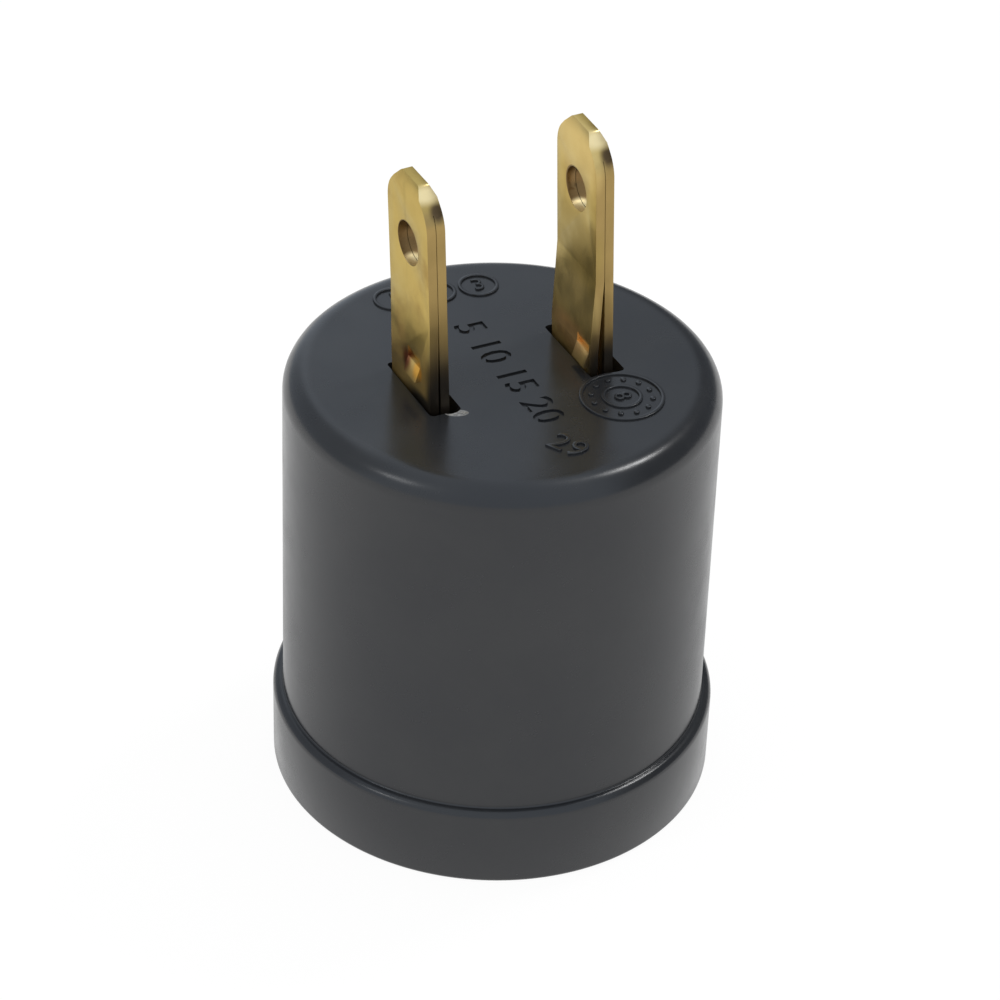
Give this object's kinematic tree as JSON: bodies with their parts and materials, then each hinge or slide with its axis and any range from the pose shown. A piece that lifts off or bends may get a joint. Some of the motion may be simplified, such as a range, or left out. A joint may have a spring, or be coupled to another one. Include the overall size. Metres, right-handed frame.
{
  "type": "lamp holder plug adapter",
  "caption": "Plug adapter with a medium screw socket for a lamp in one end and flat parallel blades on the other, in a black moulded body.",
  "frame": {"origin": "centre of the socket's open rim, on the plane that the rim stands on", "axes": "+Z along the body's axis to the tips of the blades, X from the neutral blade to the live blade, Y across the blades' width"},
  "size_m": [0.0328, 0.0328, 0.0518],
  "materials": {
    "body_moulding": "satin black moulded phenolic",
    "base_moulding": "matt dark brown moulded phenolic",
    "shell_brass": "rolled brass, slightly dull",
    "contact_bronze": "spring bronze",
    "blade_brass": "rolled brass, lightly stained and scratched",
    "rivet_brass": "drawn brass"
  },
  "bodies": {
    "root": {"body_shell": "body_moulding", "contact_base": "base_moulding", "screw_shell": "shell_brass", "centre_contact": "contact_bronze", "neutral_blade": "blade_brass", "live_blade": "blade_brass", "neutral_rivet": "rivet_brass", "live_rivet": "rivet_brass", "shell_rivet": "rivet_brass", "shell_rivet_washer": "rivet_brass"}
  },
  "joints": []
}
